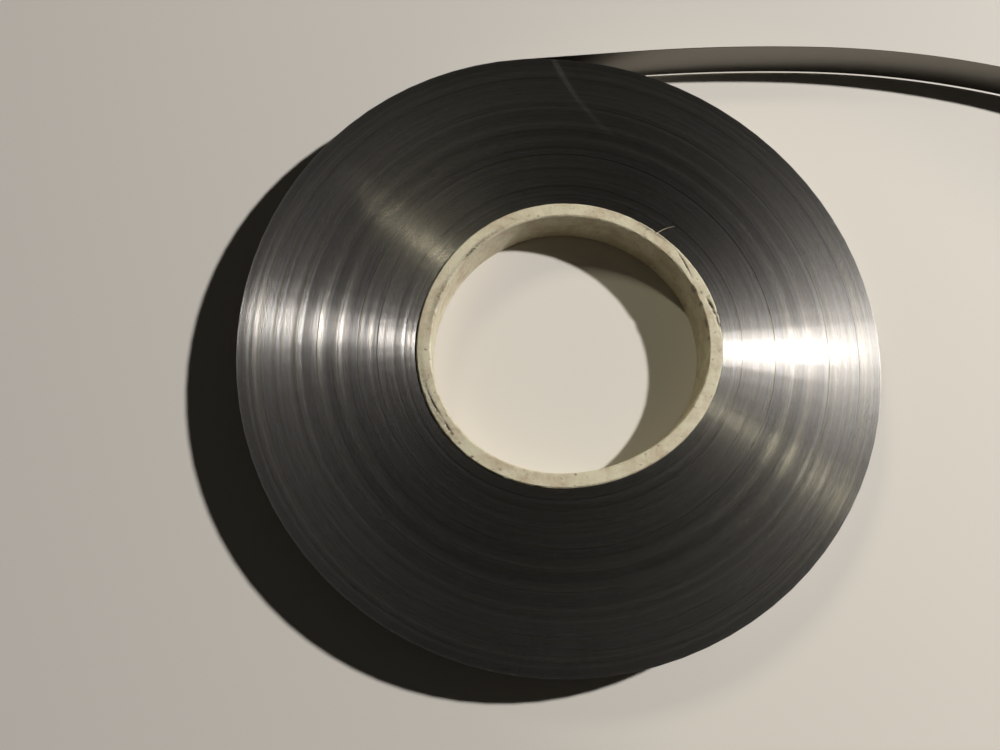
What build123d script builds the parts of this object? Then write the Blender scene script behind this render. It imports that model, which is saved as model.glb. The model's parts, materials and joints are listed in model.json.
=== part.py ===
"""Coil of spring steel strip, wound flat on a ring sawn from plastic pressure pipe.

The coil lies on its end. The ring stands a little proud of the strip at each end, so the coil rests on
the ring. The outermost turn springs away from the coil as a tail that stands on edge.

Frame: origin on the bore's axis at the ring's lower end, +Z up along that axis, +X the way the tail
points as it leaves the coil. Lengths are in millimetres and angles in degrees.
"""

import os
from math import acos, cos, degrees, radians, sin

from build123d import *

# Core ring, a slice of pressure pipe
core_outer_diameter = 110.0
core_wall = 5.3
core_length = 17.5

# Strip
strip_width = 16.0
strip_thickness = 0.3

# Coil, with its turns in groups that stand a little higher or lower and part at a narrow groove
coil_outer_diameter = 234.5
core_clearance = 0.2
edge_stagger = 0.5
groove_width = 0.6
groove_depth = 0.5
turn_group_shares = (0, 0.06, 0.12, 0.22, 0.33, 0.44, 0.56, 0.67, 0.79, 0.86, 0.92, 1)
stagger_shares = (0.3, -0.1, 0.2, -0.3, 0.4, 0, -0.4, 0.2, -0.2, 0.3)

# Tail, which leaves the coil on a tangent, straight at first, and then bends more and more tightly
tail_leaving_angle = 99.6
tail_straight_length = 45.0
tail_slack_radius = 760.0
tail_slack_length = 80.0
tail_sprung_radius = 430.0
tail_sprung_length = 90.0
tail_curl_radius = 220.0
tail_curl_length = 30.0

# Sizes that follow from these
core_radius = core_outer_diameter / 2
bore_radius = core_radius - core_wall
coil_radius = coil_outer_diameter / 2
coil_bore_radius = core_radius + core_clearance
wound_depth = coil_radius - coil_bore_radius
strip_base = (core_length - strip_width) / 2
group_radii = [coil_bore_radius + wound_depth * share for share in turn_group_shares]
outer_group_radius = group_radii[-2]
strip_top = strip_base + strip_width


def core_ring():
    """The sawn slice of pipe, with plain square ends."""
    section = Circle(core_radius) - Circle(bore_radius)
    return extrude(section, amount=core_length)


def end_outline(end_level, groove_level):
    """One end of the turned outline, from the coil's bore out: a land for each group, between V grooves."""
    slope = groove_width / 2
    points = [(coil_bore_radius, groove_level)]
    for inner, outer, share in zip(group_radii, group_radii[1:-1], stagger_shares):
        land = end_level + edge_stagger * share
        points += [(inner + slope, land), (outer - slope, land), (outer, groove_level)]
    return points


def inner_turns():
    """Every group of turns but the outermost, turned from one outline. The strip's width is the same
    all along, so a group that stands higher at the upper end is as much higher at the lower one."""
    upper = end_outline(strip_top, strip_top - groove_depth)
    lower = end_outline(strip_base, strip_base + groove_depth)
    outline = Polyline(*upper, *reversed(lower), close=True)
    return revolve(Plane.XZ * make_face(outline), Axis.Z)


def tail_face(start, straight, depth):
    """One face of the tail in plan, a line and three tangent arcs, at a depth inside the outer face."""
    face = [Line(start, start + straight)]
    bends = (
        (tail_slack_radius, tail_slack_length),
        (tail_sprung_radius, tail_sprung_length),
        (tail_curl_radius, tail_curl_length),
    )
    for radius, length in bends:
        turn = -degrees(length / radius)
        face.append(JernArc(face[-1] @ 1, face[-1] % 1, radius - depth, turn))
    return face


def outer_turns():
    """The outermost group of turns with the tail, drawn as one plan so that the strip runs through."""
    angle = radians(tail_leaving_angle)
    outward = Vector(cos(angle), sin(angle))
    along = Vector(sin(angle), -cos(angle))

    # The tail's inner face comes out of the coil where the turn has moved out by its own thickness.
    inner_radius = coil_radius - strip_thickness
    parting_angle = acos(inner_radius / coil_radius)
    parting_length = coil_radius * sin(parting_angle)

    outer_start = outward * coil_radius
    inner_start = outward * inner_radius + along * parting_length
    outer_face = tail_face(outer_start, along * tail_straight_length, 0)
    inner_face = tail_face(inner_start, along * (tail_straight_length - parting_length), strip_thickness)
    sheared_end = Line(outer_face[-1] @ 1, inner_face[-1] @ 1)
    around = CenterArc((0, 0), coil_radius, tail_leaving_angle, 360 - degrees(parting_angle))

    plan = make_face([*outer_face, sheared_end, *inner_face, around]) - Circle(outer_group_radius)
    return Pos(0, 0, strip_base) * extrude(plan, amount=strip_width)


def strip_coil():
    """The strip as one piece: the wound turns and the tail."""
    return inner_turns() + outer_turns()


os.makedirs("parts", exist_ok=True)
export_step(core_ring(), "parts/core_ring.step")
export_step(strip_coil(), "parts/strip_coil.step")
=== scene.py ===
# %% [markdown]
# # A coil of spring steel strip
#
# The real thing is about a hundred metres of thin steel strip, wound flat on a ring sawn from plastic
# pressure pipe. The strip's outer end springs away from the coil and stands on edge as a tail. This lesson
# dresses the measured model: the strip is wound turn by turn, the ring gets its sawn and chipped end, and
# both get a finish that reacts to light as the real surfaces do.

# %% Load the measured model
import json
from math import cos, pi, radians, sin

import bpy
import numpy as np
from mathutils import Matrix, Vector
from mathutils import noise as turbulence


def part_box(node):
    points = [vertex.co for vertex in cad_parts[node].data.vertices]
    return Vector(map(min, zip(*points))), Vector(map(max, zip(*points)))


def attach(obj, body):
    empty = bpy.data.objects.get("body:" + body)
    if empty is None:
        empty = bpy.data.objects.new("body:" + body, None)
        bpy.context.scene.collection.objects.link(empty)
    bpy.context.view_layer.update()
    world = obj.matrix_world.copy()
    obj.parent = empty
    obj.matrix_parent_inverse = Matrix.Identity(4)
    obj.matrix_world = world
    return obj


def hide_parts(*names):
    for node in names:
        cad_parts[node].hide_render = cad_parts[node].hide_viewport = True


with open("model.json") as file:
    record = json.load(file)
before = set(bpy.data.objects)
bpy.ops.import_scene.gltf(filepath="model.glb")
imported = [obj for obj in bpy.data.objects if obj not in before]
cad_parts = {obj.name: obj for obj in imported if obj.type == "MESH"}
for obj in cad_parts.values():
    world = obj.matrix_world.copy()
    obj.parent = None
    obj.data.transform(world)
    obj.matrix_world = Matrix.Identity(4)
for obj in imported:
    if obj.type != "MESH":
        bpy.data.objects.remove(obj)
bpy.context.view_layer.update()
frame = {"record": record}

mm = 0.001

# %% [markdown]
# ## Sizes
#
# Every size comes from the measured model where it holds one, so the dressed pieces land where the solids
# are. The ring's outer radius and length are read from its box. The bore's radius is in the record, because
# it is where a spindle goes in. The strip's width is in neither, so it is written here.

# %% Read the main sizes
ring_low, ring_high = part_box("core_ring")
ring_radius = ring_high.x
ring_length = ring_high.z - ring_low.z
coil_radius = -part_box("strip_coil")[0].x
mounts = {mount["name"]: mount for mount in frame["record"]["mounts"]}
bore_radius = mounts["core_bore"]["dims"]["r_mm"] * mm
ring_wall = ring_radius - bore_radius
strip_width = 16 * mm
strip_base = (ring_length - strip_width) / 2
ring_size = f"{2 * ring_radius / mm:.1f} x {ring_length / mm:.1f} mm"
print(f"ring {ring_size}, coil {2 * coil_radius / mm:.1f} mm across")

# %% [markdown]
# ## Camera
#
# The camera was fitted to the rims of the coil and the ring, which are circles in space and ellipses in the
# picture. The picture's optical centre isn't its middle, so the lens is shifted. A shift moves the frame
# over the picture without turning the camera, which keeps the perspective right.

# %% Set up the camera
picture_width, picture_height = 1000, 750
focal_length_px = 806.6
optical_centre_px = (563.5, 412.2)
sensor_width = 36
camera_place = (-34.6 * mm, -94.2 * mm, 292.6 * mm)
camera_tilt = (radians(13.67), radians(-6.54), 0)

camera_data = bpy.data.cameras.new("camera")
camera_data.sensor_width = sensor_width
camera_data.lens = focal_length_px / picture_width * camera_data.sensor_width
camera_data.shift_x = (picture_width / 2 - optical_centre_px[0]) / picture_width
camera_data.shift_y = (optical_centre_px[1] - picture_height / 2) / picture_width
camera_data.clip_start = 10 * mm
camera = bpy.data.objects.new("camera", camera_data)
camera.location = camera_place
camera.rotation_euler = camera_tilt
bpy.context.scene.collection.objects.link(camera)
bpy.context.scene.camera = camera
bpy.context.scene.view_settings.view_transform = "Standard"
print(f"lens {camera_data.lens:.2f} mm, shift {camera_data.shift_x:.4f}, {camera_data.shift_y:.4f}")

# %% [markdown]
# ## Node helpers
#
# Shaders and Geometry Nodes are both node trees. Their nodes could be added and linked one by one, but that
# takes many lines. Six small helpers keep the trees short to write. One adds a node with its settings, one
# links a socket or sets its own value, and the others add a sum, a range, a noise and a vector.

# %% Helpers for node trees
def add(tree, kind, **settings):
    """A new node with its settings."""
    node = tree.nodes.new(kind)
    for name, value in settings.items():
        setattr(node, name, value)
    return node


def feed(tree, socket, value):
    """Links a socket to an output, or sets the socket's own value."""
    if isinstance(value, bpy.types.NodeSocket):
        tree.links.new(value, socket)
    else:
        socket.default_value = value


def maths(tree, operation, *values):
    """One sum, such as ADD or SINE, of outputs and plain numbers."""
    node = add(tree, "ShaderNodeMath", operation=operation)
    for socket, value in zip(node.inputs, values):
        feed(tree, socket, value)
    return node.outputs[0]


def spread(tree, value, low, high, start=0.0, end=1.0, ease="LINEAR"):
    """A value between low and high, spread over start to end and held there beyond."""
    node = add(tree, "ShaderNodeMapRange", interpolation_type=ease)
    names = ("Value", "From Min", "From Max", "To Min", "To Max")
    for name, setting in zip(names, (value, low, high, start, end)):
        feed(tree, node.inputs[name], setting)
    return node.outputs["Result"]


def grain(tree, place, scale, detail=2.0, roughness=0.5, dimensions="3D"):
    """Noise between 0 and 1, at a vector, or along one number for 1D."""
    node = add(tree, "ShaderNodeTexNoise", noise_dimensions=dimensions)
    feed(tree, node.inputs["W" if dimensions == "1D" else "Vector"], place)
    feed(tree, node.inputs["Scale"], scale)
    feed(tree, node.inputs["Detail"], detail)
    feed(tree, node.inputs["Roughness"], roughness)
    return node.outputs["Fac"]


def vector(tree, x=0.0, y=0.0, z=0.0):
    """Three numbers as one vector."""
    node = add(tree, "ShaderNodeCombineXYZ")
    for socket, value in zip(node.inputs, (x, y, z)):
        feed(tree, socket, value)
    return node.outputs[0]


print("node helpers:", ", ".join(helper.__name__ for helper in (add, feed, maths, spread, grain, vector)))

# %% [markdown]
# ## Light and floor
#
# One small lamp stands to the right and a little behind. It gives the bright fans across the turns and the
# crisp shadow on the left. A slim row of weak warm spots stands behind on the left. Their pool of light
# covers the bore and the right side, where it gives two faint fans and lifts the shadow in the bore. One
# spot would give a second crisp shadow and one large lamp would give broad fans. A row that is slim across
# and tall gives narrow fans and yet soft shadows.
#
# The sky is dim, because the steel's dark parts are a reflection of it. The floor is plain and pale, and so
# is the backdrop that low views show behind it.

# %% Lamps
def lamp(kind, name, azimuth, elevation, distance, aim, power, colour):
    """A lamp that stands off in a direction from the coil's centre and looks at a point on the floor."""
    data = bpy.data.lights.new(name, kind)
    data.energy = power
    data.color = colour
    piece = bpy.data.objects.new(name, data)
    level, turn = radians(elevation), radians(azimuth)
    piece.location = Vector((cos(level) * cos(turn), cos(level) * sin(turn), sin(level))) * distance
    piece.rotation_euler = (piece.location - Vector(aim)).to_track_quat("Z", "Y").to_euler()
    bpy.context.scene.collection.objects.link(piece)
    return data


key_white, side_warm = (1.0, 0.98, 0.95), (1.0, 0.95, 0.70)
key_azimuth, key_elevation, key_distance, key_power = 21.7, 38.5, 2.2, 60
key = lamp("AREA", "key lamp", key_azimuth, key_elevation, key_distance, (0, 0, 0), key_power, key_white)
key.shape = "DISK"
key.size = 0.10

# Azimuth and elevation of each spot in the row, from the lowest up.
side_row = ((123.7, 39.0), (122.7, 41.5), (121.4, 44.0), (120.0, 46.5), (118.5, 49.0))
side_distance, side_power, pool_middle = 1.6, 4.2, (0.11, -0.04, 0)
for number, (azimuth, elevation) in enumerate(side_row):
    name = f"side spot {number + 1}"
    spot = lamp("SPOT", name, azimuth, elevation, side_distance, pool_middle, side_power, side_warm)
    spot.spot_size = radians(9.7)
    spot.spot_blend = 0.06
    spot.shadow_soft_size = 0.03

# %% Sky
sky_low, sky_high = (0.013, 0.012, 0.009, 1), (0.022, 0.021, 0.018, 1)
backdrop_colour = (0.40, 0.38, 0.35, 1)

world = bpy.data.worlds.new("dim sky")
world.use_nodes = True
sky = world.node_tree
sky_height = add(sky, "ShaderNodeSeparateXYZ")
sky.links.new(add(sky, "ShaderNodeTexCoord").outputs["Generated"], sky_height.inputs[0])
sky_shade = add(sky, "ShaderNodeMix", data_type="RGBA")
feed(sky, sky_shade.inputs["Factor"], spread(sky, sky_height.outputs["Z"], 0.0, 0.6))
sky_shade.inputs["A"].default_value = sky_low
sky_shade.inputs["B"].default_value = sky_high

# The backdrop shows to the camera and in reflections, low down, and gives no light of its own.
rays = add(sky, "ShaderNodeLightPath").outputs
seen = maths(sky, "MAXIMUM", rays["Is Camera Ray"], rays["Is Glossy Ray"])
seen = maths(sky, "MAXIMUM", seen, rays["Is Transmission Ray"])
low_down = spread(sky, sky_height.outputs["Z"], 0.0, 0.3, 1.0, 0.0, "SMOOTHSTEP")
backdrop = add(sky, "ShaderNodeMix", data_type="RGBA")
feed(sky, backdrop.inputs["Factor"], maths(sky, "MULTIPLY", seen, low_down))
feed(sky, backdrop.inputs["A"], sky_shade.outputs["Result"])
backdrop.inputs["B"].default_value = backdrop_colour
feed(sky, sky.nodes["Background"].inputs["Color"], backdrop.outputs["Result"])
bpy.context.scene.world = world
print("nodes in the sky:", len(sky.nodes))

# %% Floor
floor_half = 4.0
floor_colour = (0.64, 0.605, 0.555, 1)
floor_mesh = bpy.data.meshes.new("floor")
floor_corners = [(x * floor_half, y * floor_half, 0) for x, y in ((-1, -1), (1, -1), (1, 1), (-1, 1))]
floor_mesh.from_pydata(floor_corners, [], [(0, 1, 2, 3)])
floor = bpy.data.objects.new("floor", floor_mesh)
floor_paint = bpy.data.materials.new("pale floor")
floor_paint.use_nodes = True
floor_surface = floor_paint.node_tree.nodes["Principled BSDF"]
floor_surface.inputs["Base Color"].default_value = floor_colour
floor_surface.inputs["Roughness"].default_value = 0.9
floor_mesh.materials.append(floor_paint)
bpy.context.scene.collection.objects.link(floor)
print(f"floor {2 * floor_half:.0f} m square")

# %% [markdown]
# ## The out-of-round shape
#
# Pipe is never quite round, and the strip copies the ring's shape and slowly evens it out over two hundred
# turns. A shape like that is a circle plus a few waves round it. Each row below holds how many waves go
# round, and the wave's cosine and sine heights on the ring and on the coil's rim.

# %% Waves round the ring and the rim
waves = (
    (2, 0.89 * mm, 1.15 * mm, 0.0, 0.0),
    (3, 0.54 * mm, -0.35 * mm, 0.50 * mm, -0.20 * mm),
)


def ring_wave(azimuth):
    """How far the ring stands out from its round shape at an azimuth in radians."""
    return sum(c * np.cos(n * azimuth) + s * np.sin(n * azimuth) for n, c, s, _, _ in waves)


around = np.radians(np.arange(360))
print(f"ring out of round by {ring_wave(around).min() / mm:.2f} to {ring_wave(around).max() / mm:.2f} mm")

# %% [markdown]
# ## The wound strip: the rule
#
# The strip could be shown as one disc with rings painted on it. But a real coil's end is made of strip
# edges with gaps and steps between them, and those are what catch the light. So the strip is really wound
# here. Geometry Nodes suit it, because its path follows a rule: a point's turn gives its angle and radius.
# Past the last turn the path carries on as the tail, a straight run and three ever tighter bends.
#
# The tree below makes that path from a line of points, moves each point by its number, and sweeps the
# strip's flat section along it. Groups of turns stand a little higher or lower and part at a narrow gap,
# where the winding was once stopped and started again.

# %% The strip's winding values
turns = 197
points_per_turn = 80
tail_points = 64
strip_thickness = 0.29 * mm
edge_crown = 0.098 * mm
inner_gap = 0.05 * mm
leaving_angle = radians(99.6)
tail_straight = 45 * mm
tail_bends = ((760 * mm, 80 * mm), (430 * mm, 90 * mm), (220 * mm, 30 * mm))
tail_length = tail_straight + sum(length for _, length in tail_bends)
group_shares = (0.06, 0.12, 0.22, 0.33, 0.44, 0.56, 0.67, 0.79, 0.86, 0.92)
group_gaps = (0.02, 0.05, 0.01, 0.06, 0.01, 0.04, 0.01, 0.06, 0.02, 0.04)
group_levels = (0.3, -0.1, 0.2, -0.3, 0.4, 0.0, -0.4, 0.2, -0.2, 0.3, 0.0)
edge_stagger = 0.22 * mm
inner_radius = ring_radius + inner_gap + strip_thickness / 2
outer_radius = coil_radius - strip_thickness / 2
total_gap = sum(group_gaps) * mm
pitch = (outer_radius - inner_radius - total_gap) / turns
print(f"{turns} turns at {pitch / mm:.4f} mm, tail {tail_length / mm:.0f} mm")

# %% The tree's inputs
strip_tree = bpy.data.node_groups.new("wound strip", "GeometryNodeTree")
strip_tree.interface.new_socket("Strip", in_out="OUTPUT", socket_type="NodeSocketGeometry")
strip_settings = {
    "Turns": turns,
    "Points per turn": points_per_turn,
    "Tail points": tail_points,
    "Seed": 7,
    "Inner radius": inner_radius,
    "Pitch": pitch,
    "Thickness": strip_thickness,
    "Width": strip_width,
    "Crown": edge_crown,
    "Middle height": strip_base + strip_width / 2,
    "Leaving angle": leaving_angle,
    "Tail straight": tail_straight,
    "Tail length": tail_length,
    "Stagger": edge_stagger,
    "Waviness": 0.10 * mm,
    "Turn jitter": 0.02 * mm,
}
strip_sockets = {}
for name, value in strip_settings.items():
    kind = "NodeSocketInt" if isinstance(value, int) else "NodeSocketFloat"
    strip_sockets[name] = strip_tree.interface.new_socket(name, in_out="INPUT", socket_type=kind)
strip_inputs = add(strip_tree, "NodeGroupInput").outputs
print("named inputs:", ", ".join(strip_sockets))

# %% Turn, angle and radius of each point
def sums(operation, *values):
    """A sum in the strip's tree."""
    return maths(strip_tree, operation, *values)


index = add(strip_tree, "GeometryNodeInputIndex").outputs[0]
last_wound = sums("MULTIPLY", strip_inputs["Turns"], strip_inputs["Points per turn"])
turn = sums("DIVIDE", sums("MINIMUM", index, last_wound), strip_inputs["Points per turn"])
share = sums("DIVIDE", turn, strip_inputs["Turns"])
angle = sums("SUBTRACT", strip_inputs["Leaving angle"], sums("MULTIPLY", sums("FRACT", turn), 2 * pi))
radius = sums("ADD", strip_inputs["Inner radius"], sums("MULTIPLY", turn, strip_inputs["Pitch"]))
for order, ring_cos, ring_sin, rim_cos, rim_sin in waves:
    phase = sums("MULTIPLY", angle, order)
    for shape, ring_height, rim_height in (("COSINE", ring_cos, rim_cos), ("SINE", ring_sin, rim_sin)):
        height = spread(strip_tree, share, 0.0, 1.0, ring_height, rim_height)
        radius = sums("ADD", radius, sums("MULTIPLY", sums(shape, phase), height))
print("waves added to the radius:", len(waves))

# %% Gaps and steps between groups of turns
step_turns = 0.2
seam_turns = 2.5
level = group_levels[0]
seam = 0.0
for place, gap, before, after in zip(group_shares, group_gaps, group_levels, group_levels[1:]):
    start = sums("MULTIPLY", strip_inputs["Turns"], place)
    end = sums("ADD", start, step_turns)
    radius = sums("ADD", radius, spread(strip_tree, turn, start, end, 0.0, gap * mm, "SMOOTHSTEP"))
    level = sums("ADD", level, spread(strip_tree, turn, start, end, 0.0, after - before, "SMOOTHSTEP"))
    away = sums("ABSOLUTE", sums("SUBTRACT", turn, start))
    # The seam value is painted shade for the turns beside each gap, stronger where the gap is wider.
    seam = sums("MAXIMUM", seam, spread(strip_tree, away, 0.0, seam_turns, gap * 2, 0.0))
print("groups of turns:", len(group_levels))

# %% Height of each point
wave_scale, wave_drift = 1.6, 0.09
jitter_scale = 0.8
settling_turns = 3.0
drift = sums("MULTIPLY", turn, wave_drift)
flat_angle = vector(strip_tree, sums("COSINE", angle), sums("SINE", angle), drift)
moved = add(strip_tree, "ShaderNodeVectorMath", operation="ADD")
feed(strip_tree, moved.inputs[0], flat_angle)
feed(strip_tree, moved.inputs[1], vector(strip_tree, strip_inputs["Seed"], 0.0, 0.0))
wave = sums("SUBTRACT", grain(strip_tree, moved.outputs[0], wave_scale, 1.0), 0.5)
jitter_place = sums("ADD", turn, strip_inputs["Seed"])
jitter = sums("SUBTRACT", grain(strip_tree, jitter_place, jitter_scale, 2.0, 0.7, "1D"), 0.5)
settling = sums("SUBTRACT", strip_inputs["Turns"], settling_turns)
settled = spread(strip_tree, turn, settling, strip_inputs["Turns"], 1.0, 0.0)
rise = sums("MULTIPLY", level, strip_inputs["Stagger"])
rise = sums("ADD", rise, sums("MULTIPLY", wave, strip_inputs["Waviness"]))
rise = sums("ADD", rise, sums("MULTIPLY", jitter, strip_inputs["Turn jitter"]))
height = sums("ADD", strip_inputs["Middle height"], sums("MULTIPLY", rise, settled))
print(f"groups step by up to {edge_stagger * (max(group_levels) - min(group_levels)) / mm:.2f} mm")

# %% The tail's path
tail_step = sums("DIVIDE", strip_inputs["Tail length"], strip_inputs["Tail points"])
past_end = sums("SUBTRACT", index, last_wound)
run_length = sums("MULTIPLY", sums("ADD", past_end, 0.5), tail_step)
heading = sums("SUBTRACT", strip_inputs["Leaving angle"], pi / 2)
bend_start = strip_inputs["Tail straight"]
for bend_radius, bend_length in tail_bends:
    within = sums("MINIMUM", sums("MAXIMUM", sums("SUBTRACT", run_length, bend_start), 0.0), bend_length)
    heading = sums("SUBTRACT", heading, sums("DIVIDE", within, bend_radius))
    bend_start = sums("ADD", bend_start, bend_length)
stride = sums("MULTIPLY", sums("GREATER_THAN", past_end, -0.5), tail_step)
walked = add(strip_tree, "GeometryNodeAccumulateField", data_type="FLOAT_VECTOR")
stride_x = sums("MULTIPLY", stride, sums("COSINE", heading))
stride_y = sums("MULTIPLY", stride, sums("SINE", heading))
feed(strip_tree, walked.inputs["Value"], vector(strip_tree, stride_x, stride_y))
tail_walked = sums("MAXIMUM", sums("MULTIPLY", past_end, tail_step), 0.0)
tail_turn = sums("DIVIDE", tail_walked, 2 * pi * coil_radius)
print("bends in the tail:", len(tail_bends))

# %% From points to strip
line = add(strip_tree, "GeometryNodeMeshLine")
point_count = sums("ADD", sums("ADD", last_wound, strip_inputs["Tail points"]), 1.0)
feed(strip_tree, line.inputs["Count"], point_count)
placed = add(strip_tree, "GeometryNodeSetPosition")
wound_x = sums("MULTIPLY", radius, sums("COSINE", angle))
wound_y = sums("MULTIPLY", radius, sums("SINE", angle))
strip_tree.links.new(line.outputs["Mesh"], placed.inputs["Geometry"])
feed(strip_tree, placed.inputs["Position"], vector(strip_tree, wound_x, wound_y, height))
feed(strip_tree, placed.inputs["Offset"], walked.outputs["Trailing"])


def remember(geometry, name, kind, value):
    """Keeps a value on each point, so that the finish can read it later."""
    node = add(strip_tree, "GeometryNodeStoreNamedAttribute", data_type=kind)
    strip_tree.links.new(geometry, node.inputs["Geometry"])
    node.inputs["Name"].default_value = name
    feed(strip_tree, node.inputs["Value"], value)
    return node.outputs["Geometry"]


wound = remember(placed.outputs["Geometry"], "turn", "FLOAT", sums("ADD", turn, tail_turn))
wound = remember(wound, "seam", "FLOAT", seam)
path = add(strip_tree, "GeometryNodeMeshToCurve")
strip_tree.links.new(wound, path.inputs["Mesh"])
upright = add(strip_tree, "GeometryNodeSetCurveNormal", mode="Z_UP")
strip_tree.links.new(path.outputs["Curve"], upright.inputs["Curve"])
heading_along = add(strip_tree, "GeometryNodeInputTangent").outputs[0]
directed = remember(upright.outputs["Curve"], "run", "FLOAT_VECTOR", heading_along)
print("points on the path:", turns * points_per_turn + tail_points + 1)

# %% The strip's section
# Six points on a circle become a flat section: four corners, and two on its middle line that crown its
# edges.
section_corners = 6
hexagon = add(strip_tree, "GeometryNodeCurvePrimitiveCircle", mode="RADIUS")
hexagon.inputs["Resolution"].default_value = section_corners
hexagon.inputs["Radius"].default_value = 1.0
on_hexagon = add(strip_tree, "ShaderNodeSeparateXYZ")
strip_tree.links.new(add(strip_tree, "GeometryNodeInputPosition").outputs[0], on_hexagon.inputs[0])
from_ridge = sums("SUBTRACT", 1.0, sums("ABSOLUTE", on_hexagon.outputs["X"]))
half_width = sums("MULTIPLY", strip_inputs["Width"], 0.5)
crown_drop = sums("MULTIPLY", from_ridge, sums("MULTIPLY", strip_inputs["Crown"], 2.0))
corner_height = sums("SUBTRACT", half_width, crown_drop)
section_y = sums("MULTIPLY", sums("SIGN", on_hexagon.outputs["X"]), corner_height)
side_scale = sums("DIVIDE", strip_inputs["Thickness"], -2 * sin(pi / 3))
section_x = sums("MULTIPLY", on_hexagon.outputs["Y"], side_scale)
section = add(strip_tree, "GeometryNodeSetPosition")
strip_tree.links.new(hexagon.outputs["Curve"], section.inputs["Geometry"])
feed(strip_tree, section.inputs["Position"], vector(strip_tree, section_x, section_y))
print(f"section {strip_width / mm:.0f} x {strip_thickness / mm:.2f} mm, crown {edge_crown / mm:.3f} mm")

# %% Sweep the section
swept = add(strip_tree, "GeometryNodeCurveToMesh")
strip_tree.links.new(directed, swept.inputs["Curve"])
strip_tree.links.new(section.outputs["Geometry"], swept.inputs["Profile Curve"])
swept.inputs["Fill Caps"].default_value = True
realized = add(strip_tree, "GeometryNodeRealizeInstances")
strip_tree.links.new(swept.outputs["Mesh"], realized.inputs["Geometry"])
finished = add(strip_tree, "GeometryNodeSetMaterial")
strip_tree.links.new(realized.outputs["Geometry"], finished.inputs["Geometry"])
steel = bpy.data.materials.new("spring steel")
finished.inputs["Material"].default_value = steel
strip_tree.links.new(finished.outputs["Geometry"], add(strip_tree, "NodeGroupOutput").inputs["Strip"])
print("nodes in the winding tree:", len(strip_tree.nodes))

# %% [markdown]
# ## The wound strip: the mesh
#
# The modifier's inputs are set by each socket's identifier before anything is evaluated. The evaluated
# result then becomes a plain mesh and the modifier goes. The strip's four long corners are marked sharp, so
# that each face shades smoothly along the strip and crisply across it.

# %% Wind the strip
blank = bpy.data.objects.new("strip blank", bpy.data.meshes.new("strip blank"))
bpy.context.scene.collection.objects.link(blank)
winder = blank.modifiers.new("wind", "NODES")
winder.node_group = strip_tree
for name, value in strip_settings.items():
    winder[strip_sockets[name].identifier] = value
ready = blank.evaluated_get(bpy.context.evaluated_depsgraph_get())
strip_mesh = bpy.data.meshes.new_from_object(ready)
strip_mesh.name = "wound_strip"
bpy.data.objects.remove(blank)
strip = bpy.data.objects.new("wound_strip", strip_mesh)
bpy.context.scene.collection.objects.link(strip)

ends = np.zeros(2 * len(strip_mesh.edges), int)
strip_mesh.edges.foreach_get("vertices", ends)
lengthwise = np.abs(ends[0::2] - ends[1::2]) == section_corners
on_ridge = ends[0::2] % (section_corners // 2) == 0
strip_mesh.shade_smooth()
strip_marks = strip_mesh.attributes
sharp = strip_marks.get("sharp_edge") or strip_marks.new("sharp_edge", "BOOLEAN", "EDGE")
sharp.data.foreach_set("value", lengthwise & ~on_ridge)
strip_mesh.update()
strip_mesh.calc_loop_triangles()
print(len(strip_mesh.loop_triangles), "triangles; attributes:", [a.name for a in strip_mesh.attributes])

# %% [markdown]
# ## Where the strip's finish is baked
#
# A texture for the strip needs a flat layout. An automatic one would cut the spiral into thousands of
# scraps, so the layout is written by rule. The coil's two ends lie flat as discs, the outside of the last
# turn and the tail's faces are straight bands, and the walls hidden between turns share a block in rows.

# %% Sort the strip's faces
corner_index = np.zeros(len(strip_mesh.loops), int)
strip_mesh.loops.foreach_get("vertex_index", corner_index)
points = np.zeros(3 * len(strip_mesh.vertices), np.float32)
strip_mesh.vertices.foreach_get("co", points)
points = points.reshape(-1, 3)
face_sizes = np.array([len(face.vertices) for face in strip_mesh.polygons])
face_of_corner = np.repeat(np.arange(len(face_sizes)), face_sizes)
face_start = np.cumsum(face_sizes) - face_sizes
wound_rings = turns * points_per_turn
ring_number = corner_index // section_corners
first_ring = np.minimum.reduceat(ring_number, face_start)[face_of_corner]
side = np.where(face_of_corner < len(face_sizes) - 2, face_of_corner % section_corners, -1)
corner_x, corner_y, corner_z = points[corner_index].T
on_tail = first_ring >= wound_rings
upper, lower = np.isin(side, (0, 5)), np.isin(side, (2, 3))
along_turn = ring_number / points_per_turn - first_ring // points_per_turn
along_tail = (ring_number - wound_rings) / tail_points
up_width = np.clip((corner_z - strip_base) / strip_width, 0, 1)
across = (corner_index % section_corners) / section_corners
through = np.array((0.5, 0, 0, 0.5, 1, 1))[corner_index % section_corners]
walls = ~upper & ~lower & (side >= 0)
outermost = walls & ~on_tail & (first_ring >= wound_rings - points_per_turn)
outward_side = 4 if np.hypot(*points[5, :2]) > np.hypot(*points[1, :2]) else 1
print("corners on the upper end:", int((upper & ~on_tail).sum()), "outward side:", outward_side)

# %% Lay out the strip
def band(chosen, low, high, share_u, share_v):
    """Puts the chosen corners into a box of the layout, by their share along it and up it."""
    layout[chosen, 0] = low[0] + (high[0] - low[0]) * share_u[chosen]
    layout[chosen, 1] = low[1] + (high[1] - low[1]) * share_v[chosen]


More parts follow.
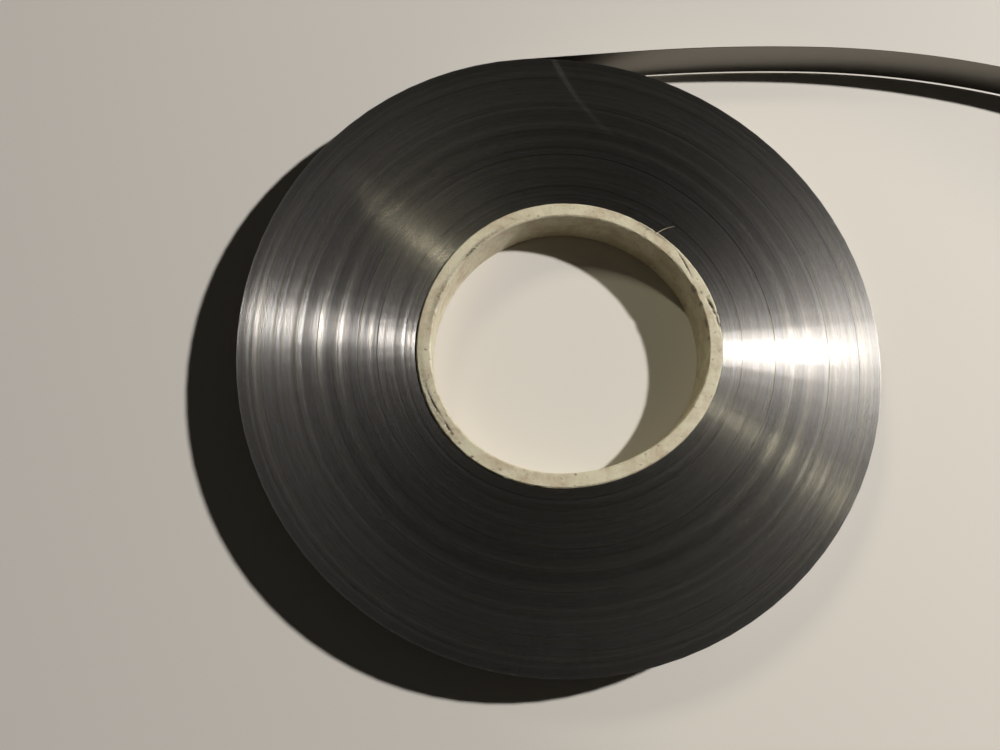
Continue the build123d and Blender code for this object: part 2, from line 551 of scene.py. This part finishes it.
layout = np.zeros((len(corner_index), 2), np.float32)
over_x, over_y = (np.clip(value / (2.02 * coil_radius) + 0.5, 0, 1) for value in (corner_x, corner_y))
band(upper & ~on_tail, (0.005, 0.42), (0.575, 0.99), over_x, over_y)
band(lower & ~on_tail, (0.585, 0.58), (0.995, 0.99), 1 - over_x, over_y)
wall_row = 2 * (first_ring // points_per_turn) + (side == 1)
row = (wall_row + np.where(up_width > 0.5, 0.9, 0.1)) / (2 * turns + 2)
band(walls & ~on_tail, (0.005, 0.01), (0.995, 0.33), along_turn, row)
band(outermost & (side == outward_side), (0.005, 0.38), (0.995, 0.401), along_turn, up_width)
band(walls & on_tail & (side == outward_side), (0.005, 0.35), (0.333, 0.371), along_tail, up_width)
band(walls & on_tail & (side != outward_side), (0.34, 0.35), (0.668, 0.371), along_tail, up_width)
band(upper & on_tail, (0.675, 0.350), (0.99, 0.355), along_tail, across)
band(lower & on_tail, (0.675, 0.358), (0.99, 0.363), along_tail, across)
band((side < 0) & (first_ring == 0), (0.675, 0.366), (0.685, 0.374), through, up_width)
band((side < 0) & (first_ring > 0), (0.690, 0.366), (0.700, 0.374), through, up_width)
strip_mesh.uv_layers.new(name="OFBake").data.foreach_set("uv", layout.ravel())
print("corners laid out:", len(layout))

# %% [markdown]
# ## Steel finish
#
# Each turn shows its slit edge, which is scored lengthwise, so light spreads across the strip and hardly
# along it. That is what draws the bright fans on the coil's end. They could be painted, but then they would
# stay put when the light moves, so the shader's anisotropy makes them. Its direction comes from the "run"
# that the winding kept, turned across the strip.
#
# The slitting knives tear the middle of the edge and leave its rounded corners smooth but dark, so
# roughness and tone also follow the slope. No two turns have the same edge, the outer turns are duller from
# handling, and streaks and flecks run along the winding on top. The turns beside each gap between groups
# are painted darker, as painted shade of the gap.

# %% Where a point is on the coil
steel.use_nodes = True
shade = steel.node_tree
surface = shade.nodes["Principled BSDF"]
surface.inputs["Metallic"].default_value = 1.0
surface.inputs["Anisotropic"].default_value = 0.55
normal = add(shade, "ShaderNodeNewGeometry").outputs["Normal"]
run = add(shade, "ShaderNodeAttribute", attribute_name="run").outputs["Vector"]
turn_number = add(shade, "ShaderNodeAttribute", attribute_name="turn").outputs["Fac"]
# The seam attribute carries the painted shade beside the gaps between groups of turns.
seam_shade = add(shade, "ShaderNodeAttribute", attribute_name="seam").outputs["Fac"]

crosswise = add(shade, "ShaderNodeVectorMath", operation="CROSS_PRODUCT")
feed(shade, crosswise.inputs[0], normal)
feed(shade, crosswise.inputs[1], run)
feed(shade, surface.inputs["Tangent"], crosswise.outputs[0])

place = add(shade, "ShaderNodeSeparateXYZ")
feed(shade, place.inputs[0], add(shade, "ShaderNodeTexCoord").outputs["Object"])
place_x, place_y, place_z = place.outputs
facing = add(shade, "ShaderNodeSeparateXYZ")
feed(shade, facing.inputs[0], normal)


def tone(operation, *values):
    """A sum in the steel's tree."""
    return maths(shade, operation, *values)


level_share = tone("ABSOLUTE", facing.outputs["Z"])
on_edge = tone("GREATER_THAN", level_share, 0.5)
reach = tone("SQRT", tone("ADD", tone("MULTIPLY", place_x, place_x), tone("MULTIPLY", place_y, place_y)))
reach = tone("MAXIMUM", reach, ring_radius / 2)


def along_winding(length, breadth):
    """Noise coordinates in which a mark is that long along the strip and that broad across it. On the
    coil's ends they go round the axis, and on the rolled faces along the strip and up its width."""
    stretch = ring_radius / length
    round_x = tone("MULTIPLY", tone("DIVIDE", place_x, reach), stretch)
    round_y = tone("MULTIPLY", tone("DIVIDE", place_y, reach), stretch)
    on_ends = vector(shade, round_x, round_y, tone("DIVIDE", reach, breadth))
    walked_length = tone("MULTIPLY", turn_number, 2 * pi * coil_radius / length)
    on_faces = vector(shade, walked_length, 0.0, tone("DIVIDE", place_z, breadth))
    either = add(shade, "ShaderNodeMix", data_type="VECTOR")
    for name, value in (("Factor", on_edge), ("A", on_faces), ("B", on_ends)):
        sockets = [s for s in either.inputs if s.name == name and s.enabled]
        feed(shade, sockets[0], value)
    return [s for s in either.outputs if s.enabled][0]


print("nodes for a point's place:", len(shade.nodes))

# %% Noises along and across the winding
def ring_tone(offset, turns_wide):
    """Noise that is the same all round a turn and changes after about that many turns."""
    node = grain(shade, tone("ADD", turn_number, offset), 1 / turns_wide, 1.0, 0.5, "1D")
    return tone("SUBTRACT", node, 0.5)


def weighed(*pairs):
    """Noises around zero, each times its weight, added up."""
    total = 0.0
    for noise, weight in pairs:
        total = tone("MULTIPLY_ADD", noise, weight, total)
    return total


single, several, many = ring_tone(3.1, 0.8), ring_tone(31.7, 3.0), ring_tone(77.3, 12.0)
streaks = tone("SUBTRACT", grain(shade, along_winding(110 * mm, 0.9 * mm), 1.0, 1.0), 0.5)
mottle = tone("SUBTRACT", grain(shade, along_winding(30 * mm, 3.0 * mm), 1.0, 2.0, 0.6), 0.5)
flecks = grain(shade, along_winding(1.6 * mm, 0.5 * mm), 1.0, 1.0)
scoring = tone("SUBTRACT", grain(shade, along_winding(110 * mm, 0.025 * mm), 1.0, 1.0), 0.5)
print("nodes with the noises:", len(shade.nodes))

# %% Wear and brightness of each turn
# A slope is given as a share of level: 1 in the middle of an edge, and less towards its corners.
torn_slopes = (0.983, 0.994)
corner_slopes = (0.89, 0.97)
handled_turns = (90.0, 140.0)
corner_loss = 0.835
least_bright = 0.08

wear = weighed((scoring, 0.5), (ring_tone(91.4, 0.45), 0.04), (streaks, -0.06), (mottle, -0.06))
wear = tone("MULTIPLY", wear, spread(shade, on_edge, 0.0, 1.0, 0.25, 1.0))
handled = spread(shade, turn_number, *handled_turns)
torn = weighed((level_share, 1.0), (handled, 0.008), (wear, 0.05))
torn = spread(shade, torn, *torn_slopes)

uneven = weighed((single, 0.12), (several, 0.35), (many, 0.45), (streaks, 0.2), (mottle, 0.2))
bright = tone("MULTIPLY_ADD", uneven, spread(shade, on_edge, 0.0, 1.0, 0.3, 1.0), 1.0)
at_corner = tone("MULTIPLY", on_edge, spread(shade, level_share, *corner_slopes, 1.0, 0.0))
worn_corner = weighed((single, 0.05), (many, 0.35), (mottle, 0.12), (handled, 0.1))
bright = tone("MULTIPLY_ADD", at_corner, tone("SUBTRACT", worn_corner, corner_loss), bright)
bright = tone("MULTIPLY", bright, spread(shade, torn, 0.0, 1.0, 0.75, 1.22))
# Turns beside a gap are painted darker, as painted shade of the gap.
bright = tone("MULTIPLY", bright, tone("SUBTRACT", 1.0, tone("MULTIPLY", seam_shade, 0.8)))
fleck_marks = tone("MULTIPLY", on_edge, spread(shade, flecks, 0.68, 0.76, 0.0, 0.3))
bright = tone("MULTIPLY", bright, tone("SUBTRACT", 1.0, fleck_marks))
bright = tone("MULTIPLY", bright, spread(shade, turn_number, turns - 4.0, turns - 1.0, 1.0, 1.25))
bright = tone("MAXIMUM", bright, least_bright)
print("nodes with wear and brightness:", len(shade.nodes))

# %% Colour of the steel
grey_steel = (0.235, 0.233, 0.231, 1)
warm_steel = (0.254, 0.239, 0.211, 1)
rosy_steel = (0.246, 0.221, 0.213, 1)

on_face = tone("SUBTRACT", 1.0, on_edge)
warm_share = spread(shade, ring_tone(13.9, 5.0), -0.12, 0.12)
tint = add(shade, "ShaderNodeMix", data_type="RGBA")
feed(shade, tint.inputs["Factor"], tone("MAXIMUM", on_face, warm_share))
tint.inputs["A"].default_value = grey_steel
tint.inputs["B"].default_value = warm_steel
rosy_share = spread(shade, ring_tone(57.2, 2.5), 0.02, 0.2)
rosy = add(shade, "ShaderNodeMix", data_type="RGBA")
feed(shade, rosy.inputs["Factor"], tone("MULTIPLY", on_edge, rosy_share))
feed(shade, rosy.inputs["A"], tint.outputs["Result"])
rosy.inputs["B"].default_value = rosy_steel
print("nodes with the colours:", len(shade.nodes))

# %% [markdown]
# ## Marks on the steel
#
# One long scratch crosses the turns near the top and fades inwards, and a few turns have a bright nick.
# They could be cut into the mesh, but they are finer than its faces. So they are drawn by distance: a point
# that is close to the scratch's bent line, or to the middle of a nick, is a little brighter.

# %% The long scratch and the nicks
scratch_start_x, scratch_top = -6.3 * mm, 115.7 * mm
scratch_lean, scratch_bend = 0.425, 9.0
scratch_length, scratch_glow, scratch_dull = 42 * mm, 0.11, 0.12
nicks = ((104.2 * mm, 53.1 * mm), (-27.5 * mm, -114.9 * mm), (-19.5 * mm, -116.2 * mm))
nick_glow = 1.2

down = tone("SUBTRACT", scratch_top, place_y)
scratch_x = tone("MULTIPLY_ADD", tone("MULTIPLY", down, down), scratch_bend, scratch_start_x)
scratch_x = tone("MULTIPLY_ADD", down, scratch_lean, scratch_x)
beside = tone("ABSOLUTE", tone("SUBTRACT", place_x, scratch_x))
scratch = spread(shade, beside, 0.3 * mm, 2.2 * mm, 1.0, 0.0, "SMOOTHSTEP")
scratch = tone("MULTIPLY", scratch, spread(shade, down, 0.0, scratch_length, 1.0, 0.0))
scratch = tone("MULTIPLY", scratch, tone("GREATER_THAN", down, -3 * mm))
on_top = tone("GREATER_THAN", facing.outputs["Z"], 0.5)
scratch = tone("MULTIPLY", scratch, on_top)

rolled_share = 0.9
shown = tone("MULTIPLY", bright, spread(shade, on_edge, 0.0, 1.0, rolled_share, 1.0))
shown = tone("ADD", shown, tone("MULTIPLY", scratch, scratch_glow))
for nick_x, nick_y in nicks:
    aside_x = tone("SUBTRACT", place_x, nick_x)
    aside_y = tone("SUBTRACT", place_y, nick_y)
    away = tone("SQRT", tone("ADD", tone("MULTIPLY", aside_x, aside_x), tone("MULTIPLY", aside_y, aside_y)))
    nick = spread(shade, away, 0.2 * mm, 1.5 * mm, nick_glow, 0.0)
    shown = tone("MULTIPLY_ADD", nick, on_top, shown)
coloured = add(shade, "ShaderNodeVectorMath", operation="SCALE")
feed(shade, coloured.inputs[0], rosy.outputs["Result"])
feed(shade, coloured.inputs["Scale"], shown)
feed(shade, surface.inputs["Base Color"], coloured.outputs[0])
print(f"scratch {scratch_length / mm:.0f} mm long, {len(nicks)} nicks")

# %% Roughness of the steel
polished, scored, rolled, dull = 0.165, 0.217, 0.34, 0.46
rough = spread(shade, wear, -0.15, 0.15, polished, scored)
rough = tone("MULTIPLY_ADD", torn, dull - scored, rough)
rough = tone("MULTIPLY_ADD", on_face, rolled - scored, rough)
rough = tone("ADD", rough, tone("MULTIPLY", scratch, scratch_dull))
feed(shade, surface.inputs["Roughness"], rough)
print("nodes in the steel finish:", len(shade.nodes))

# %% [markdown]
# ## The core ring
#
# The ring is a slice sawn by hand from pipe, so its end is a little uneven, its corners are broken, and
# there are chips and saw steps full of dirt. A CAD ring would look too clean, and bump in the finish would
# leave its outline perfect. Here the section's outline is swept round in plain code, and each point is
# moved by the out-of-round waves, by noise and by a short list of marks. The same list says how dirty each
# point is, and the finish reads that.

# %% The ring's section
ring_steps = 720
end_rows = 16
wall_rows = 8
chamfer = 0.45 * mm


def ring_section():
    """The section as rows of depth from the outer face and height, from the lower outer corner round."""
    heights = np.linspace(chamfer, ring_length - chamfer, wall_rows + 1)
    depths = np.linspace(chamfer, ring_wall - chamfer, end_rows + 1)
    outer_face = [(0.0, height) for height in heights]
    upper_end = [(depth, ring_length) for depth in depths]
    inner_face = [(ring_wall, height) for height in heights[::-1]]
    lower_end = [(depth, 0.0) for depth in depths[::-1]]
    return np.array(outer_face + upper_end + inner_face + lower_end)


section_rows = ring_section()
azimuths = np.linspace(0, 2 * pi, ring_steps, endpoint=False)
depth = np.repeat(section_rows[:, :1], ring_steps, axis=1)
height = np.repeat(section_rows[:, 1:], ring_steps, axis=1)
azimuth = np.repeat(azimuths[None, :], len(section_rows), axis=0)
at_top = height > ring_length - 1.01 * chamfer
print("ring section rows:", len(section_rows))

# %% The list of marks on the ring's end
# A chip has its azimuth and half width in degrees, and its reach and drop in mm. A saw step or dirt line
# goes from one azimuth and depth to another, and has a half width and a drop or strength. A dirt spot has
# its azimuth, depth, size and strength.
outer_chips = ((13.4, 0.9, 0.9, 0.5), (8.6, 1.3, 0.7, 0.8), (54.5, 1.0, 0.6, 0.3))
inner_chips = ((25.5, 3.0, 0.8, 0.6), (18.3, 1.6, 0.6, 0.5), (10.0, 3.5, 0.45, 0.3), (3.4, 1.2, 0.4, 0.3))
saw_steps = (
    (43.8, 29.3, 0.9, 3.6, 0.50, 0.4),
    (-159.5, -146.0, 1.5, 2.5, 0.55, 0.4),
    (-146.0, -139.0, 2.5, 1.8, 0.65, 0.35),
    (20.5, 14.0, 2.4, 1.2, 0.80, 0.7),
    (15.4, 12.0, 2.0, 0.8, 0.75, 0.5),
    (12.6, 6.6, 1.2, 0.3, 0.90, 0.7),
)
dirt_lines = (
    (150.0, 116.0, 4.6, 4.2, 1.3, 0.55),
    (145.0, 132.0, 4.7, 4.5, 0.7, 1.0),
    (179.0, 146.0, 4.0, 4.3, 1.6, 0.4),
    (-178.0, -134.0, 1.6, 2.0, 1.5, 0.5),
    (64.0, 46.0, 0.8, 0.9, 1.0, 0.6),
    (52.0, 24.0, 4.6, 4.8, 0.8, 0.35),
    (-1.2, -2.4, 0.2, 2.4, 0.7, 0.7),
    (118.0, 112.0, 1.0, 4.4, 0.8, 0.3),
)
dirt_spots = (
    (-174.0, 3.4, 0.7, 1.0), (-156.6, 4.0, 0.7, 0.6), (-139.6, 1.9, 1.0, 1.0), (-135.3, 1.7, 0.8, 0.7),
    (-128.6, 0.9, 0.8, 0.9), (57.5, 1.5, 0.8, 0.6), (23.0, 3.2, 0.9, 0.6), (104.6, 4.3, 0.6, 1.0),
    (141.7, 5.0, 0.9, 0.6), (126.0, 4.2, 0.8, 0.5), (-88.6, 4.7, 0.7, 0.8), (-57.7, 4.2, 0.7, 0.6),
    (-170.0, 4.8, 0.7, 0.6), (54.0, 0.5, 0.7, 0.8), (-162.0, 2.6, 0.6, 0.6), (160.0, 4.6, 0.7, 0.5),
)
print("marks:", sum(map(len, (outer_chips, inner_chips, saw_steps, dirt_lines, dirt_spots))))

# %% Chips, saw steps and dirt
def turned_away(middle):
    """Degrees round from an azimuth, between -180 and 180."""
    return (np.degrees(azimuth) - middle + 180) % 360 - 180


def bump(distance, half):
    """A smooth hump of height 1 that ends at half each side."""
    inside = np.clip(1 - np.abs(distance) / half, 0, 1)
    return inside * inside * (3 - 2 * inside)


lowered = np.zeros_like(depth)
grime = np.zeros_like(depth)
for chips, from_edge in ((outer_chips, depth), (inner_chips, ring_wall - depth)):
    for middle, half, reach_in, drop in chips:
        bite = bump(turned_away(middle), half) * np.clip(1.3 - from_edge / (reach_in * mm), 0, 1)
        lowered = np.maximum(lowered, bite * drop * mm)
        grime = np.maximum(grime, 0.7 * bite)


def along_line(start, end, start_depth, end_depth, half):
    """A smooth ridge of height 1 along a line on the ring's end, from one azimuth and depth to another."""
    share_round = turned_away(start) / (end - start)
    line_depth = (start_depth + (end_depth - start_depth) * share_round) * mm
    return bump(depth - line_depth, half * mm) * bump(share_round - 0.5, 0.62)


for *line, drop in saw_steps:
    cut = along_line(*line)
    lowered = np.maximum(lowered, cut * drop * mm)
    grime = np.maximum(grime, cut)
for *line, strength in dirt_lines:
    grime = np.maximum(grime, along_line(*line) * strength)
for middle, spot_depth, size, strength in dirt_spots:
    aside = np.radians(turned_away(middle)) * ring_radius
    grime = np.maximum(grime, strength * bump(np.hypot(aside, depth - spot_depth * mm), size * mm))
grime = grime * at_top
print(f"deepest chip {lowered.max() / mm:.2f} mm")

# %% Build the ring
saw_wander = 0.10 * mm
saw_grain = 0.05 * mm
corner_wear = 0.14 * mm


def speckle(points_x, points_y, points_z, scale):
    """Smooth noise around zero at each point."""
    places = np.stack([points_x, points_y, points_z], -1).reshape(-1, 3) * scale
    return np.array([turbulence.noise(Vector(p)) for p in places]).reshape(points_x.shape)


reach_out = ring_radius + ring_wave(azimuth) - depth
ring_x = reach_out * np.cos(azimuth)
ring_y = reach_out * np.sin(azimuth)
rough_end = speckle(ring_x, ring_y, height, 1 / (1.3 * mm)) * saw_grain
worn = np.abs(speckle(ring_x, ring_y, height, 1 / (2.2 * mm))) * corner_wear
near_corner = np.minimum(depth, ring_wall - depth) < 1.01 * chamfer
height = height + at_top * (saw_wander * np.cos(azimuth - 2.0) + rough_end - lowered - near_corner * worn)
inward = near_corner * at_top * worn * np.where(depth < ring_wall / 2, -1, 1)
ring_x = (reach_out + inward) * np.cos(azimuth)
ring_y = (reach_out + inward) * np.sin(azimuth)

rows, steps = depth.shape
corner = np.arange(rows * steps).reshape(rows, steps)
next_row = np.roll(corner, -1, axis=0)
quads = np.stack([corner, np.roll(corner, -1, 1), np.roll(next_row, -1, 1), next_row], -1).reshape(-1, 4)
ring_mesh = bpy.data.meshes.new("core_ring_sawn")
ring_mesh.from_pydata(np.stack([ring_x, ring_y, height], -1).reshape(-1, 3).tolist(), [], quads.tolist())
grime_mark = ring_mesh.attributes.new("grime", "FLOAT", "POINT")
grime_mark.data.foreach_set("value", grime.ravel().astype(np.float32))
ring_mesh.shade_smooth()
ring_mesh.set_sharp_from_angle(angle=radians(35))
ring = bpy.data.objects.new("core_ring_sawn", ring_mesh)
bpy.context.scene.collection.objects.link(ring)

# Its flat layout unrolls it: once round along the texture, and round its section up it.
layout_rows = np.linspace(0.01, 0.99, rows + 1)
layout_steps = np.linspace(0.005, 0.995, steps + 1)
low_v, low_u = np.meshgrid(layout_rows[:-1], layout_steps[:-1], indexing="ij")
high_v, high_u = np.meshgrid(layout_rows[1:], layout_steps[1:], indexing="ij")
unrolled = np.stack([low_u, low_v, high_u, low_v, high_u, high_v, low_u, high_v], -1).astype(np.float32)
ring_mesh.uv_layers.new(name="OFBake").data.foreach_set("uv", unrolled.ravel())
print("ring faces:", len(ring_mesh.polygons))

# %% [markdown]
# ## The saw's burr
#
# The saw left one thin curl of plastic on the ring's outer edge, at the top right. It could be modelled
# face by face, but it is a tapered thread along a bent line. So a curve with a round bevel makes it in a
# few lines, and becomes a plain mesh.

# %% Build the burr
# Each point has its x, y and z in mm, and its share of the thread's full thickness.
burr_line = (
    (32.3, 43.9, 17.15, 1.0),
    (34.4, 45.3, 17.45, 0.9),
    (37.2, 46.5, 17.62, 0.7),
    (39.7, 47.2, 17.55, 0.15),
)
burr_curve = bpy.data.curves.new("burr line", "CURVE")
burr_curve.dimensions = "3D"
burr_curve.bevel_depth = 0.15 * mm
burr_curve.bevel_resolution = 2
burr_curve.use_fill_caps = True
thread = burr_curve.splines.new("NURBS")
thread.points.add(len(burr_line) - 1)
thread.use_endpoint_u = True
thread.order_u = 3
thread.resolution_u = 6
for point, (x, y, z, thickness) in zip(thread.points, burr_line):
    point.co = (x * mm, y * mm, z * mm, 1.0)
    point.radius = thickness
burr_blank = bpy.data.objects.new("burr line", burr_curve)
bpy.context.scene.collection.objects.link(burr_blank)
ready = burr_blank.evaluated_get(bpy.context.evaluated_depsgraph_get())
burr_mesh = bpy.data.meshes.new_from_object(ready)
burr_mesh.name = "saw_burr"
burr_mesh.shade_smooth()
bpy.data.objects.remove(burr_blank)
burr = bpy.data.objects.new("saw_burr", burr_mesh)
bpy.context.scene.collection.objects.link(burr)
print("burr faces:", len(burr_mesh.polygons))

# %% [markdown]
# ## Pipe plastic
#
# The pipe is off-white plastic that has yellowed in patches. Dirt sits in the chips and saw steps, and fine
# dust is scattered over the rest. A single colour would look new. Here noises mix the clean, the stained
# and the dirty plastic, and the dirt of each mark comes from the "grime" that the ring's mesh keeps.

# %% Finish of the ring and the burr
clean_plastic = (0.57, 0.525, 0.385, 1)
stained_plastic = (0.43, 0.355, 0.245, 1)
dirt_colour = (0.055, 0.042, 0.026, 1)

pipe = bpy.data.materials.new("pipe plastic")
pipe.use_nodes = True
pipe_tree = pipe.node_tree
pipe_surface = pipe_tree.nodes["Principled BSDF"]
pipe_place = add(pipe_tree, "ShaderNodeTexCoord").outputs["Object"]
stain = add(pipe_tree, "ShaderNodeMix", data_type="RGBA")
patches = grain(pipe_tree, pipe_place, 130.0, 4.0, 0.65)
feed(pipe_tree, stain.inputs["Factor"], spread(pipe_tree, patches, 0.40, 0.66))
stain.inputs["A"].default_value = clean_plastic
stain.inputs["B"].default_value = stained_plastic
dirty = add(pipe_tree, "ShaderNodeMix", data_type="RGBA")
dust = spread(pipe_tree, grain(pipe_tree, pipe_place, 700.0, 3.0, 0.6), 0.62, 0.72, 0.0, 0.6)
broken = spread(pipe_tree, grain(pipe_tree, pipe_place, 1200.0, 3.0, 0.7), 0.35, 0.6, 0.4, 1.6)
marks = add(pipe_tree, "ShaderNodeAttribute", attribute_name="grime").outputs["Fac"]
marks = maths(pipe_tree, "MINIMUM", maths(pipe_tree, "MULTIPLY", marks, broken), 1.0)
feed(pipe_tree, dirty.inputs["Factor"], maths(pipe_tree, "MAXIMUM", dust, marks))
feed(pipe_tree, dirty.inputs["A"], stain.outputs["Result"])
dirty.inputs["B"].default_value = dirt_colour
feed(pipe_tree, pipe_surface.inputs["Base Color"], dirty.outputs["Result"])
pipe_rough = spread(pipe_tree, grain(pipe_tree, pipe_place, 400.0, 3.0), 0.3, 0.7, 0.42, 0.62)
feed(pipe_tree, pipe_surface.inputs["Roughness"], pipe_rough)
ring_mesh.materials.append(pipe)
burr_mesh.materials.clear()
burr_mesh.materials.append(pipe)
print("nodes in the plastic finish:", len(pipe_tree.nodes))

# %% [markdown]
# ## The pieces and their body
#
# Each piece is told which body it moves with. The coil has no joints, so all of it is one body. The
# measured solids of the strip and the ring are hidden, so that only the dressed pieces show.

# %% Attach the pieces to one body and hide the measured solids
for piece, finish in ((strip, "spring_steel"), (ring, "pipe_plastic"), (burr, "pipe_plastic")):
    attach(piece, "root")
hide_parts("strip_coil")
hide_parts("core_ring")
